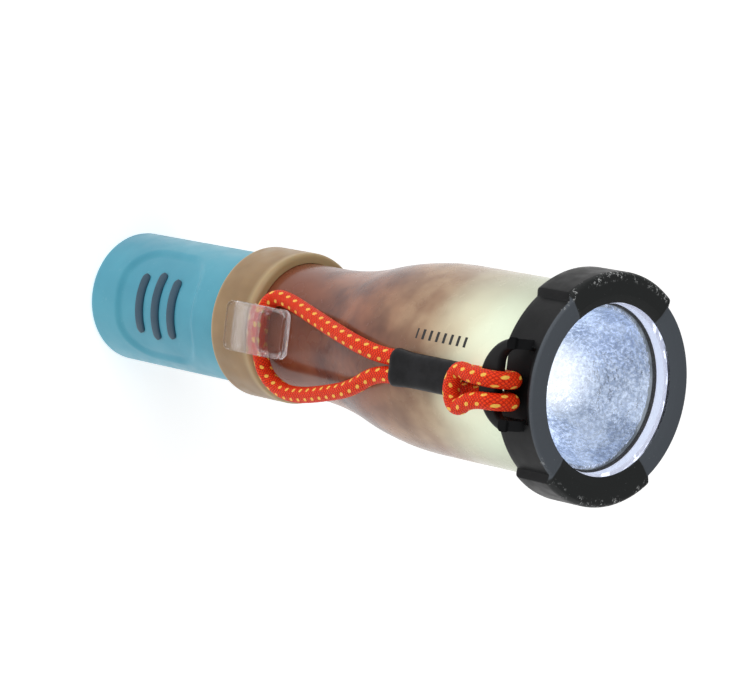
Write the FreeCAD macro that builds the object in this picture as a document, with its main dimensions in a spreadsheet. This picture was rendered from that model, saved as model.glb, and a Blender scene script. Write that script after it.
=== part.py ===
import FreeCAD, Part
import math
import os

import Sketcher

# A palm-size flashlight and lantern with a lanyard, standing on its tail.
# Millimetres, +Z from the tail's resting face towards the lens, origin at the
# centre of that face. The lanyard lug, the hook and the cord are on the -Y side.

SIZES = {
    # blue battery housing, from the tail up
    "barrel_r": 12.8,
    "housing_length": 40.0,
    "pack_bore_r": 11.1,
    "tail_wall": 2.2,
    "tail_chamfer": 1.2,
    "panel_low": 8.0,
    "panel_high": 32.5,
    "panel_half_width": 10.8,
    "panel_corner_r": 7.0,
    "panel_depth": 0.7,
    "neck_length": 6.8,
    "neck_wall": 0.7,
    # thread between the neck and the collar
    "thread_pitch": 2.0,
    "thread_start": 2.2,
    "thread_rise": 4.0,
    "thread_depth": 0.75,
    "thread_base": 0.95,
    "thread_crest": 0.45,
    "thread_clearance": 0.12,
    "seal_d": 0.84,
    "seal_seat": 1.1,
    # cream collar and translucent globe
    "collar_gap": 0.25,
    "collar_length": 11.0,
    "collar_r": 14.6,
    "collar_round": 1.6,
    "skirt_low": 7.6,
    "waist_r": 12.6,
    "waist_bore_r": 11.3,
    "flare_low": 19.0,
    "flare_length": 37.0,
    "flare_bend": 69.7,
    "shoulder_height": 83.75,
    "globe_r": 17.6,
    "globe_wall": 1.5,
    "ledge_r": 11.95,
    "ledge_depth": 3.0,
    "inner_bend": 42.8,
    "rim_length": 3.6,
    "rim_step": 1.55,
    "rim_wall": 1.05,
    # black bezel and what it clamps
    "bezel_clearance": 0.05,
    "bezel_wall": 3.4,
    "pad_rise": 1.4,
    "pad_angle": 76.0,
    "pad_chamfer": 1.1,
    "lip_cover": 0.65,
    "lip": 0.8,
    "recess_drop": 0.15,
    "bevel_drop": 0.35,
    "lens_thickness": 1.1,
    "spacer_length": 1.8,
    "spacer_wall": 0.95,
    "lens_seal_d": 0.9,
    "flange_thickness": 0.8,
    # lanyard lug: an arch that stands off the bezel
    "lug_gap": 1.2,
    "lug_thickness": 1.9,
    "lug_outer_r": 8.2,
    "lug_centre_drop": 2.4,
    "lug_bar": 4.8,
    "lug_hole_half": 6.2,
    "lug_hole_corner": 2.6,
    "lug_foot_drop": 3.0,
    "lug_foot_sink": 1.8,
    "lug_foot_half": 7.6,
    "lug_slope_drop": 2.4,
    "pocket_drop": 1.3,
    "pocket_depth": 2.05,
    # clear hook on the waist
    "hook_low": 7.75,
    "hook_length": 17.0,
    "hook_half_width": 4.7,
    "hook_corner": 1.6,
    "hook_inner": 16.0,
    "hook_thickness": 1.9,
    "hook_root_low": 16.2,
    "hook_root_length": 6.6,
    "hook_root_half": 3.7,
    "hook_root_sink": 0.4,
    # reflector and light sources
    "bowl_margin": 1.95,
    "bowl_hole_r": 3.2,
    "bowl_depth": 17.5,
    "bowl_bend": 36.0,
    "bowl_wall": 0.9,
    "board_r": 9.5,
    "board_thickness": 1.4,
    "board_gap": 1.5,
    "led_side": 3.6,
    "led_height": 0.8,
    "dome_r": 1.6,
    "lantern_led_side": 2.2,
    "lantern_led_height": 0.7,
    "lantern_led_radius": 7.3,
    "screw_radius": 7.3,
    "screw_r": 0.95,
    "screw_head_r": 1.6,
    "screw_head": 0.9,
    "screw_length": 5.0,
    "tower_flange": 2.0,
    "tower_r": 5.0,
    "tower_bore_r": 3.2,
    "tower_foot": 2.0,
    # dark cup with the driver board
    "cup_clearance": 0.05,
    "cup_flange": 2.0,
    "cup_r": 10.8,
    "cup_bore_r": 9.3,
    "cup_height": 15.0,
    "cup_floor": 1.6,
    "cup_hole_r": 2.4,
    "driver_thickness": 1.2,
    "driver_seat": 3.0,
    "contact_r": 2.2,
    "contact_pad_r": 3.2,
    "contact_pad": 0.5,
    "contact_gap": 0.1,
    # battery pack
    "cell_r": 5.05,
    "cell_length": 43.6,
    "cell_nub_r": 1.9,
    "cell_nub": 0.9,
    "cell_pitch_r": 5.86,
    "pack_r": 10.95,
    "pack_floor": 1.8,
    "pack_roof": 1.9,
    "pack_rib_r": 1.0,
    "plate_thickness": 0.3,
    "plate_r": 4.2,
    "cell_spring_gap": 1.2,
    "cell_spring_r": 3.2,
    "cell_spring_wire": 0.25,
    "pack_contact_r": 4.0,
    "pack_contact": 0.4,
    # tail switch
    "tail_spring_gap": 5.6,
    "tail_spring_r": 6.6,
    "tail_spring_wire": 0.4,
    "tail_board_low": 9.4,
    "tail_board": 1.0,
    "tail_board_r": 11.0,
    "clamp_height": 1.6,
    "clamp_bore_r": 8.4,
    "ledge_inner_r": 9.6,
    "switch_side": 7.0,
    "switch_height": 3.7,
    "plunger_r": 1.6,
    "plunger_length": 3.0,
    "plunger_clearance": 0.06,
    "button_hole_r": 6.2,
    "button_clearance": 0.1,
    "button_recess": 0.5,
    "button_flange_r": 7.4,
    "button_flange": 1.2,
    "button_gap": 0.1,
    "button_seal_d": 0.7,
    # lanyard
    "cord_d": 3.0,
    "sleeve_low": 98.1,
    "sleeve_length": 16.9,
    "sleeve_half_width": 3.5,
    "sleeve_half_height": 1.85,
    "sleeve_centre": 1.2,
    "sleeve_stand_off": 19.55,
}

COIL_STEPS = 16  # points a turn of a spring's curve
WIRE_SIDES = 8  # sides of a spring wire's outline

doc = FreeCAD.newDocument("lantern_flashlight")
sheet = doc.addObject("Spreadsheet::Sheet", "Sizes")
for row, (alias, size) in enumerate(SIZES.items(), start=1):
    sheet.set(f"A{row}", alias)
    sheet.set(f"B{row}", str(size))
    sheet.setAlias(f"B{row}", alias)
doc.recompute()

# Heights, each a sum of the sizes below it.
GLOBE_LOW = "housing_length + collar_gap"
COLLAR_TOP = GLOBE_LOW + " + collar_length"
SHOULDER = GLOBE_LOW + " + shoulder_height"
RIM_TOP = SHOULDER + " + rim_length"
FLANGE_TOP = RIM_TOP + " + flange_thickness"
SPACER_LOW = FLANGE_TOP + " + lens_seal_d"
LENS_LOW = SPACER_LOW + " + spacer_length"
LENS_TOP = LENS_LOW + " + lens_thickness"
FRONT = LENS_TOP + " + lip"
BOWL_LOW = FLANGE_TOP + " - bowl_depth"
BOARD_TOP = BOWL_LOW + " - board_gap"
BOARD_LOW = BOARD_TOP + " - board_thickness"
PACK_LOW = "tail_board_low + tail_board + tail_spring_gap"
CELL_FLOOR = PACK_LOW + " + pack_floor + plate_thickness"
CELL_ROOF = CELL_FLOOR + " + cell_spring_gap + cell_length + cell_nub"
PACK_TOP = CELL_ROOF + " + plate_thickness + pack_roof"
LEDGE = PACK_TOP + " + pack_contact + contact_gap + contact_pad"
CUP_TOP = LEDGE + " + cup_height"
BUTTON_FLANGE_LOW = "tail_wall + button_gap"

# Radii that follow from others.
NECK_R = "pack_bore_r + neck_wall"
RIM_R = "globe_r - rim_step"
BEZEL_BORE = RIM_R + " + bezel_clearance"
BEZEL_R = BEZEL_BORE + " + bezel_wall"
OPENING_R = RIM_R + " - lip_cover"
BOWL_RIM_R = RIM_R + " - bowl_margin"
LUG_INNER = BEZEL_R + " + lug_gap"
LUG_FOOT_INNER = BEZEL_R + " - lug_foot_sink"

pieces = []


def amount(expression):
    """The value, in millimetres, of a sum of size names and numbers; a term may be halved."""
    total = 0.0
    sign = 1.0
    term = 0.0
    halve = False
    for token in expression.split():
        if token in ("+", "-"):
            total += sign * term
            sign = 1.0 if token == "+" else -1.0
            term = 0.0
        elif token == "/":
            halve = True
        elif halve:
            term /= float(token)
            halve = False
        else:
            term = SIZES[token] if token in SIZES else float(token)
    return total + sign * term


def bound(expression):
    """The same sum written for setExpression."""
    words = [f"Sizes.{token}" if token in SIZES else token for token in expression.split()]
    return " ".join(words)


def minus(expression):
    """The same sum with every sign turned."""
    turned_signs = {"+": "-", "-": "+"}
    return "- " + " ".join(turned_signs.get(word, word) for word in expression.split())


def half(expression):
    """The same sum with every term halved."""
    return " ".join(word if word in "+-" else word + " / 2" for word in expression.split())


def keep(piece, label):
    """Name a finished piece and list it for export."""
    piece.Label = label
    pieces.append(piece)
    return piece


def origin_plane(body, role):
    for feature in body.Origin.OriginFeatures:
        if feature.Role == role:
            return feature
    raise ValueError(f"{body.Label} has no plane {role}")


def fix_coordinate(sketch, direction, vertex, expression):
    """Tie one coordinate of a sketch vertex to a sum of sizes."""
    value = amount(expression)
    axis = -2 if direction == "DistanceX" else -1
    if abs(value) < 1e-9:
        sketch.addConstraint(Sketcher.Constraint("PointOnObject", *vertex, axis))
        return
    ends = (-1, 1, *vertex) if value > 0 else (*vertex, -1, 1)
    index = sketch.addConstraint(Sketcher.Constraint(direction, *ends, abs(value)))
    text = bound(expression)
    sketch.setExpression(f"Constraints[{index}]", text if value > 0 else f"-({text})")


def draw(body, name, role, outline, offset=None):
    """A closed sketch. Each vertex is (x, y) or (x, y, radius, side): an arc ends there.

    A side of 1 puts the arc's centre on the left of the way from the vertex before, -1 on the right.
    """
    sketch = body.newObject("Sketcher::SketchObject", name)
    sketch.AttachmentSupport = [(origin_plane(body, role), "")]
    sketch.MapMode = "FlatFace"
    if offset:
        sketch.setExpression("AttachmentOffset.Base.z", bound(offset))
    spots = [FreeCAD.Vector(amount(v[0]), amount(v[1]), 0) for v in outline]
    starts = []
    for index, vertex in enumerate(outline):
        a, b = spots[index - 1], spots[index]
        if len(vertex) == 2:
            segment = sketch.addGeometry(Part.LineSegment(a, b), False)
            starts.append(((segment, 1), (segment, 2)))
            continue
        radius, side = amount(vertex[2]), vertex[3]
        chord = b - a
        across = FreeCAD.Vector(-chord.y, chord.x, 0).normalize()
        reach = math.sqrt(max(radius ** 2 - (chord.Length / 2) ** 2, 0))
        centre = (a + b) * 0.5 + across * (side * reach)
        first, last = (a, b) if side > 0 else (b, a)
        low = math.atan2(first.y - centre.y, first.x - centre.x)
        high = math.atan2(last.y - centre.y, last.x - centre.x)
        circle = Part.Circle(centre, FreeCAD.Vector(0, 0, 1), radius)
        segment = sketch.addGeometry(Part.ArcOfCircle(circle, low, high), False)
        index = sketch.addConstraint(Sketcher.Constraint("Radius", segment, radius))
        sketch.setExpression(f"Constraints[{index}]", bound(vertex[2]))
        starts.append(((segment, 1), (segment, 2)) if side > 0 else ((segment, 2), (segment, 1)))
    for index, vertex in enumerate(outline):
        incoming = starts[index][1]
        outgoing = starts[(index + 1) % len(outline)][0]
        sketch.addConstraint(Sketcher.Constraint("Coincident", *incoming, *outgoing))
        fix_coordinate(sketch, "DistanceX", incoming, vertex[0])
        fix_coordinate(sketch, "DistanceY", incoming, vertex[1])
    sketch.Visibility = False
    return sketch


def new_body(name):
    return doc.addObject("PartDesign::Body", name)


def revolve(body, name, outline, angle=None):
    """A full turn of an (r, z) outline, or a middle-plane sector of it about +X."""
    sketch = draw(body, name + "_profile", "XZ_Plane", outline)
    turn = body.newObject("PartDesign::Revolution", name)
    turn.Profile = sketch
    turn.ReferenceAxis = (sketch, ["V_Axis"])
    turn.Angle = 360
    if angle:
        turn.Midplane = True
        turn.setExpression("Angle", bound(angle))
    return turn


def turned(label, outline):
    """A body that is one turned outline."""
    body = new_body(label)
    revolve(body, label + "_turn", outline)
    return body


def raise_pad(body, name, outline, start, length, role="XZ_Plane"):
    """A pad from an offset of an origin plane; XZ sketches grow towards -Y."""
    sketch = draw(body, name + "_outline", role, outline, start)
    pad = body.newObject("PartDesign::Pad", name)
    pad.Profile = sketch
    pad.setExpression("Length", bound(length))
    return pad


def cut_pocket(body, name, outline, start, length, role="XZ_Plane"):
    """A pocket that is cut along the sketch's own normal, away from the plane."""
    sketch = draw(body, name + "_outline", role, outline, start)
    pocket = body.newObject("PartDesign::Pocket", name)
    pocket.Profile = sketch
    pocket.Reversed = True
    pocket.setExpression("Length", bound(length))
    return pocket


def tube(name, outer, inner, low, high):
    """An (r, z) outline of a plain ring."""
    return turned(name, [(inner, low), (outer, low), (outer, high), (inner, high)])


def disc(name, radius, low, high):
    return turned(name, [("0", low), (radius, low), (radius, high), ("0", high)])


def primitive(kind, name, bindings, base=None):
    """A Part primitive with its sizes, and its base point, bound to the sheet."""
    solid = doc.addObject(kind, name)
    for prop, expression in bindings.items():
        solid.setExpression(prop, expression)
    if base:
        for axis, expression in zip("xyz", base):
            if expression:
                solid.setExpression(f"Placement.Base.{axis}", expression)
    return solid


def boolean(kind, name, **links):
    result = doc.addObject(kind, name)
    for prop, value in links.items():
        setattr(result, prop, value)
    return result


def part_cut(name, base, tool):
    return boolean("Part::Cut", name, Base=base, Tool=tool)


def threaded(name, wall, ridge):
    """A wall with its ridge, left unrefined so that the helical faces stay whole."""
    return boolean("Part::Fuse", name, Base=wall, Tool=ridge, Refine=False)


def feature(name, shape, at=(0.0, 0.0, 0.0)):
    """A Part::Feature placed at a point, for helices, coils and cords."""
    solid = doc.addObject("Part::Feature", name)
    solid.Shape = shape
    solid.Placement = FreeCAD.Placement(FreeCAD.Vector(*at), FreeCAD.Rotation())
    return solid


def around(count, radius, start_degrees=0.0):
    """Points evenly spaced on a circle."""
    for step in range(count):
        turn = math.radians(start_degrees + 360.0 * step / count)
        yield radius * math.cos(turn), radius * math.sin(turn)


# ---------------------------------------------------------------- thread and springs

def thread_ridge(root_r, crest_r):
    """A right-hand ridge whose foot is sunk a little into the wall that carries it."""
    pitch = amount("thread_pitch")
    rise = amount("thread_rise")
    base = amount("thread_base")
    crest = amount("thread_crest")
    sunk = 0.2 if crest_r > root_r else -0.2
    foot_r = root_r - sunk
    helix = Part.makeHelix(pitch, rise, foot_r)
    corners = [(foot_r, -base / 2), (crest_r, -crest / 2), (crest_r, crest / 2), (foot_r, base / 2)]
    outline = [FreeCAD.Vector(r, 0, z) for r, z in corners]
    profile = Part.makePolygon(outline + outline[:1])
    return Part.Wire(helix.Edges).makePipeShell([profile], True, True)


def coil(name, radius_low, radius_high, wire_r, gap, turns, seat):
    """A conical spring that fills the gap above its seat, a point on its axis."""
    steps = COIL_STEPS * turns
    rise = gap - 2.0 * wire_r
    spots = []
    for k in range(steps + 1):
        share = k / steps
        angle = 2 * math.pi * turns * share
        radius = radius_low + (radius_high - radius_low) * share
        height = wire_r + rise * share
        spots.append(FreeCAD.Vector(radius * math.cos(angle), radius * math.sin(angle), height))
    curve = Part.BSplineCurve()
    curve.interpolate(spots)
    ring = Part.makeCircle(wire_r, spots[0], curve.tangent(curve.FirstParameter)[0])
    outline = Part.makePolygon(ring.discretize(WIRE_SIDES + 1))
    spring = Part.Wire([curve.toShape()]).makePipeShell([outline], True, True)
    return feature(name, spring, seat)


# ---------------------------------------------------------------- cord

def cord_wire(points):
    """Straight runs joined by tangent arcs, each as large as its two runs allow."""
    spots = [FreeCAD.Vector(*p) for p in points]
    edges = []
    radii = []
    at = spots[0]
    for before, corner, after in zip(spots, spots[1:], spots[2:]):
        back = before - corner
        ahead = after - corner
        half_turn = (math.pi - back.getAngle(ahead)) / 2
        shorter = min(back.Length, ahead.Length)
        reach = 0.45 * shorter
        radii.append(reach / math.tan(half_turn))
        back.normalize()
        ahead.normalize()
        enter = corner + back * reach
        leave = corner + ahead * reach
        bisector = (back + ahead).normalize()
        centre = corner + bisector * (radii[-1] / math.cos(half_turn))
        middle = centre - bisector * radii[-1]
        edges.append(Part.LineSegment(at, enter).toShape())
        edges.append(Part.Arc(enter, middle, leave).toShape())
        at = leave
    edges.append(Part.LineSegment(at, spots[-1]).toShape())
    return Part.Wire(edges), radii


def cord(label, points):
    """A cord's tube, with its length, volume and tightest radius printed."""
    wire, radii = cord_wire(points)
    first = FreeCAD.Vector(*points[1]) - FreeCAD.Vector(*points[0])
    ring = Part.Wire([Part.makeCircle(amount("cord_d") / 2, FreeCAD.Vector(*points[0]), first)])
    shape = wire.makePipeShell([ring], True, True)
    expected = math.pi * (amount("cord_d") / 2) ** 2 * wire.Length
    print(f"{label}: length {wire.Length:.1f}, volume {shape.Volume:.1f} of {expected:.1f},"
          f" radii {', '.join(f'{r:.1f}' for r in radii)}")
    return keep(feature(label, shape), label)


# ---------------------------------------------------------------- tail housing

def make_tail_housing():
    neck_top = "housing_length + neck_length"
    body = new_body("housing_shell")
    revolve(body, "housing_turn", [
        ("button_hole_r", "0"),
        ("barrel_r - tail_chamfer", "0"),
        ("barrel_r", "tail_chamfer"),
        ("barrel_r", "housing_length"),
        (NECK_R, "housing_length"),
        (NECK_R, neck_top),
        ("pack_bore_r", neck_top),
        ("pack_bore_r", "tail_board_low"),
        ("ledge_inner_r", "tail_board_low"),
        ("ledge_inner_r", "tail_wall"),
        ("button_hole_r", "tail_wall"),
    ])
    ring = tube("panel_ring", "barrel_r + 2", "barrel_r - panel_depth", "panel_low", "panel_high")
    block = new_body("panel_block")
    raise_pad(block, "panel_pad", rounded_outline(
        "panel_half_width", "panel_low", "panel_high", "panel_corner_r"), "2", "barrel_r")
    back_block = new_body("panel_back_block")
    raise_pad(back_block, "panel_back_pad", rounded_outline(
        "panel_half_width", "panel_low", "panel_high", "panel_corner_r"), "- barrel_r - 2", "barrel_r")
    blocks = boolean("Part::MultiFuse", "panel_blocks", Shapes=[block, back_block])
    cutter = boolean("Part::MultiCommon", "panel_cutter", Shapes=[ring, blocks])
    doc.recompute()
    low = amount("housing_length + thread_start")
    root = amount(NECK_R)
    ridge = feature("housing_ridge", thread_ridge(root, root + amount("thread_depth")), (0, 0, low))
    recessed = part_cut("housing_recessed", body, cutter)
    keep(threaded("housing", recessed, ridge), "tail_housing")


def rounded_outline(half_width, low, high, corner):
    """A rectangle in X and Z with four round corners, drawn counterclockwise."""
    left = "- " + half_width
    return [
        (half_width, high + " - " + corner),
        (half_width + " - " + corner, high, corner, 1),
        (left + " + " + corner, high),
        (left, high + " - " + corner, corner, 1),
        (left, low + " + " + corner),
        (left + " + " + corner, low, corner, 1),
        (half_width + " - " + corner, low),
        (half_width, low + " + " + corner, corner, 1),
    ]


def make_thread_seal():
    seal = primitive("Part::Torus", "thread_seal", {
        "Radius1": bound(NECK_R + " + seal_d / 2"),
        "Radius2": "Sizes.seal_d / 2",
    }, (None, None, "Sizes.housing_length + Sizes.seal_seat"))
    keep(seal, "thread_seal")


# ---------------------------------------------------------------- collar, globe and hook

def make_collar():
    bore = NECK_R + " + thread_depth + thread_clearance"
    body = turned("collar_shell", [
        (bore, GLOBE_LOW),
        ("collar_r - 0.4", GLOBE_LOW),
        ("collar_r", GLOBE_LOW + " + 0.4"),
        ("collar_r", COLLAR_TOP + " - collar_round"),
        ("collar_r - collar_round", COLLAR_TOP, "collar_round", 1),
        ("waist_r", COLLAR_TOP),
        ("waist_r", GLOBE_LOW + " + skirt_low"),
        (bore, GLOBE_LOW + " + skirt_low"),
    ])
    doc.recompute()
    # The collar's ridge runs in the neck's groove, half a pitch above its ridge.
    low = amount("housing_length + thread_start") + amount("thread_pitch") / 2
    crest = amount(NECK_R + " + thread_clearance")
    ridge = feature("collar_ridge", thread_ridge(amount(bore), crest), (0, 0, low))
    keep(threaded("collar", body, ridge), "collar_ring")


def make_globe():
    skirt = GLOBE_LOW + " + skirt_low"
    flare_low = GLOBE_LOW + " + flare_low"
    flare_mid = flare_low + " + flare_length / 2"
    flare_top = flare_low + " + flare_length"
    counterbore = LEDGE + " + ledge_depth"
    inner_mid = half(counterbore + " + " + flare_top)
    inner_mid_r = "ledge_r / 2 + globe_r / 2 - globe_wall / 2"
    globe = turned("globe", [
        ("waist_bore_r", skirt),
        ("waist_r", skirt),
        ("waist_r", flare_low),
        ("waist_r / 2 + globe_r / 2", flare_mid, "flare_bend", -1),
        ("globe_r", flare_top, "flare_bend", 1),
        ("globe_r", SHOULDER),
        (RIM_R, SHOULDER),
        (RIM_R, RIM_TOP),
        (RIM_R + " - rim_wall", RIM_TOP),
        (RIM_R + " - rim_wall", SHOULDER + " - globe_wall"),
        ("globe_r - globe_wall", SHOULDER + " - globe_wall - globe_wall"),
        ("globe_r - globe_wall", flare_top),
        (inner_mid_r, inner_mid, "inner_bend", -1),
        ("ledge_r", counterbore, "inner_bend", 1),
        ("ledge_r", LEDGE),
        ("waist_bore_r", LEDGE),
    ])
    return keep(globe, "globe")


def make_hook(globe):
    body = new_body("hook_block")
    root_low = GLOBE_LOW + " + hook_root_low"
    root_top = root_low + " + hook_root_length"
    tab_low = GLOBE_LOW + " + hook_low"
    tab_top = tab_low + " + hook_length"
    raise_pad(body, "hook_tab", rounded_outline(
        "hook_half_width", tab_low, tab_top, "hook_corner"), "hook_inner", "hook_thickness")
    raise_pad(body, "hook_root", rounded_outline(
        "hook_root_half", root_low, root_top, "hook_corner"),
        "waist_r - hook_root_sink", "hook_inner - waist_r + hook_root_sink")
    keep(part_cut("hook_trimmed", body, globe), "cord_hook")


# ---------------------------------------------------------------- bezel, lens and reflector

def make_bezel():
    recess_front = FRONT + " - recess_drop"
    body = new_body("bezel_blank")
    revolve(body, "bezel_turn", [
        (BEZEL_BORE, SHOULDER),
        (BEZEL_R, SHOULDER),
        (BEZEL_R, recess_front),
        (OPENING_R, recess_front + " - bevel_drop"),
        (OPENING_R, LENS_TOP),
        (BEZEL_BORE, LENS_TOP),
    ])
    pad_r = BEZEL_R + " + pad_rise"
    pad = revolve(body, "bumper_pad", [
        (BEZEL_R + " - 1", SHOULDER),
        (pad_r + " - pad_chamfer", SHOULDER),
        (pad_r, SHOULDER + " + pad_chamfer"),
        (pad_r, FRONT + " - pad_chamfer"),
        (pad_r + " - pad_chamfer", FRONT),
        (OPENING_R, FRONT),
        (OPENING_R, LENS_TOP),
        (BEZEL_BORE, LENS_TOP),
        (BEZEL_BORE, LENS_TOP + " - lens_thickness"),
        (BEZEL_R + " - 1", LENS_TOP + " - lens_thickness"),
    ], "pad_angle")
    pattern = body.newObject("PartDesign::PolarPattern", "bumper_pads")
    pattern.Originals = [pad]
    pattern.Axis = (pad.Profile[0], ["V_Axis"])
    pattern.Angle = 360
    pattern.Occurrences = 2
    body.Tip = pattern
    centre = FRONT + " - lug_centre_drop"
    tip = centre + " - lug_outer_r"
    hole_low = tip + " + lug_bar"
    side = "lug_hole_half"
    raise_pad(body, "lug_arch", [
        ("lug_outer_r", centre, "lug_outer_r", 1),
        (side, centre),
        (side, hole_low + " + lug_hole_corner"),
        (side + " - lug_hole_corner", hole_low, "lug_hole_corner", -1),
        ("- lug_hole_half + lug_hole_corner", hole_low),
        ("- lug_hole_half", hole_low + " + lug_hole_corner", "lug_hole_corner", -1),
        ("- lug_hole_half", centre),
        ("- lug_outer_r", centre),
        ("0", tip, "lug_outer_r", 1),
    ], LUG_INNER, "lug_thickness")
    for hand, sign in (("left", "- "), ("right", "")):
        foot_low = centre + " - lug_foot_drop"
        inner = sign + "lug_hole_half"
        outer = sign + "lug_foot_half"
        raise_pad(body, f"lug_foot_{hand}", [
            (inner, foot_low), (outer, foot_low), (outer, centre), (inner, centre),
        ], LUG_FOOT_INNER, "lug_gap + lug_foot_sink")
    doc.recompute()
    before = body.Shape.Volume
    cut_pocket(body, "cord_pocket", [
        (side, SHOULDER + " - 1"),
        (side, FRONT + " - pocket_drop"),
        ("- lug_hole_half", FRONT + " - pocket_drop"),
        ("- lug_hole_half", SHOULDER + " - 1"),
    ], BEZEL_R + " - pocket_depth", "lug_gap + pocket_depth")
    slope = new_body("lug_slope")
    slope_sketch = draw(slope, "lug_slope_outline", "YZ_Plane", [
        (minus(LUG_FOOT_INNER), centre),
        (minus(LUG_INNER + " + lug_thickness + 1"), centre + " - lug_slope_drop"),
        (minus(LUG_INNER + " + lug_thickness + 1"), FRONT),
        (minus(LUG_FOOT_INNER), FRONT),
    ])
    wedge = slope.newObject("PartDesign::Pad", "lug_slope_pad")
    wedge.Profile = slope_sketch
    wedge.Midplane = True
    wedge.setExpression("Length", bound(BEZEL_R))
    doc.recompute()
    print(f"cord pocket takes {before - body.Shape.Volume:.0f} mm3")
    ring_guard = tube("bezel_guard", BEZEL_R, BEZEL_BORE, SHOULDER, FRONT)
    trim = part_cut("lug_trim", slope, ring_guard)
    keep(part_cut("bezel_trimmed", body, trim), "bezel_ring")


def make_lens_stack():
    keep(disc("front_lens", RIM_R, LENS_LOW, LENS_TOP), "front_lens")
    keep(tube("lens_spacer", RIM_R, RIM_R + " - spacer_wall", SPACER_LOW, LENS_LOW), "lens_spacer")
    seal = primitive("Part::Torus", "lens_seal", {
        "Radius1": bound(RIM_R + " - lens_seal_d"),
        "Radius2": "Sizes.lens_seal_d / 2",
    }, (None, None, bound(FLANGE_TOP + " + lens_seal_d / 2")))
    keep(seal, "lens_seal")
    keep(turned("reflector", [
        ("bowl_hole_r", BOWL_LOW),
        (BOWL_RIM_R, FLANGE_TOP, "bowl_bend", 1),
        (RIM_R, FLANGE_TOP),
        (RIM_R, RIM_TOP),
        (BOWL_RIM_R + " + bowl_wall", RIM_TOP),
        ("bowl_hole_r + bowl_wall", BOWL_LOW, "bowl_bend", -1),
    ]), "reflector")


# ---------------------------------------------------------------- light sources and their column

def block(name, side, height, base_z, at=(0.0, 0.0)):
    """A square block centred on a point, standing at a height."""
    solid = primitive("Part::Box", name, {
        "Length": bound(side),
        "Width": bound(side),
        "Height": bound(height),
        "Placement.Base.z": bound(base_z),
    })
    solid.setExpression("Placement.Base.x", f"{at[0]:.4f} - ({bound(side)}) / 2")
    solid.setExpression("Placement.Base.y", f"{at[1]:.4f} - ({bound(side)}) / 2")
    return solid


def rod(name, radius, low, length, at=(0.0, 0.0)):
    """An upright cylinder at a point."""
    solid = primitive("Part::Cylinder", name, {
        "Radius": bound(radius),
        "Height": bound(length),
        "Placement.Base.z": bound(low),
    })
    solid.Placement.Base.x = at[0]
    solid.Placement.Base.y = at[1]
    return solid


def make_lights():
    spots = list(around(2, amount("screw_radius")))
    holes = [rod(f"screw_hole_{i}", "screw_r", BOARD_TOP + " - screw_length", "screw_length", spot)
             for i, spot in enumerate(spots)]
    drill = boolean("Part::MultiFuse", "screw_drill", Shapes=holes)
    board = disc("board_blank", "board_r", BOARD_LOW, BOARD_TOP)
    keep(part_cut("board_drilled", board, drill), "led_board")
    tower = turned("tower_blank", [
        ("tower_bore_r", CUP_TOP),
        ("cup_r", CUP_TOP),
        ("cup_r", CUP_TOP + " + tower_foot"),
        ("tower_r", CUP_TOP + " + tower_foot + cup_r - tower_r"),
        ("tower_r", BOARD_LOW + " - tower_flange"),
        ("board_r", BOARD_LOW + " - tower_flange"),
        ("board_r", BOARD_LOW),
        ("tower_bore_r", BOARD_LOW),
    ])
    pockets = [block(f"lantern_pocket_{i}", "lantern_led_side + 0.4", "lantern_led_height", BOARD_LOW
                     + " - lantern_led_height", spot)
               for i, spot in enumerate(around(2, amount("lantern_led_radius"), 90.0))]
    carve = boolean("Part::MultiFuse", "tower_carve", Shapes=[drill] + pockets)
    keep(part_cut("tower_drilled", tower, carve), "led_tower")
    screws = []
    for i, spot in enumerate(spots):
        shank = rod(f"shank_{i}", "screw_r", BOARD_TOP + " - screw_length", "screw_length", spot)
        head = rod(f"head_{i}", "screw_head_r", BOARD_TOP, "screw_head", spot)
        screws.append(boolean("Part::MultiFuse", f"screw_{i}", Shapes=[shank, head]))
    keep(boolean("Part::Compound", "screws", Links=screws), "board_screws")
    lamps = [block(f"lantern_led_{i}", "lantern_led_side", "lantern_led_height",
                   BOARD_LOW + " - lantern_led_height", spot)
             for i, spot in enumerate(around(2, amount("lantern_led_radius"), 90.0))]
    keep(boolean("Part::Compound", "lamps", Links=lamps), "lantern_leds")
    chip = block("chip", "led_side", "led_height", BOARD_TOP)
    dome = primitive("Part::Sphere", "dome", {
        "Radius": "Sizes.dome_r",
        "Angle1": "0",
        "Placement.Base.z": bound(BOARD_TOP + " + led_height"),
    })
    keep(boolean("Part::MultiFuse", "emitter", Shapes=[chip, dome]), "led_emitter")


def make_core():
    flange_r = "ledge_r - cup_clearance"
    seat = LEDGE + " + driver_seat"
    keep(turned("core_cup", [
        ("cup_hole_r", LEDGE),
        (flange_r, LEDGE),
        (flange_r, LEDGE + " + cup_flange"),
        ("cup_r", LEDGE + " + cup_flange"),
        ("cup_r", CUP_TOP),
        ("cup_bore_r", CUP_TOP),
        ("cup_bore_r", seat),
        ("cup_bore_r - 1", seat),
        ("cup_bore_r - 1", LEDGE + " + cup_floor"),
        ("cup_hole_r", LEDGE + " + cup_floor"),
    ]), "core_cup")
    keep(disc("driver_board", "cup_bore_r", seat, seat + " + driver_thickness"), "driver_board")
    keep(turned("head_contact", [
        ("0", LEDGE + " - contact_pad"),
        ("contact_pad_r", LEDGE + " - contact_pad"),
        ("contact_pad_r", LEDGE),
        ("contact_r", LEDGE),
        ("contact_r", seat),
        ("0", seat),
    ]), "head_contact")


# ---------------------------------------------------------------- battery pack

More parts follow.
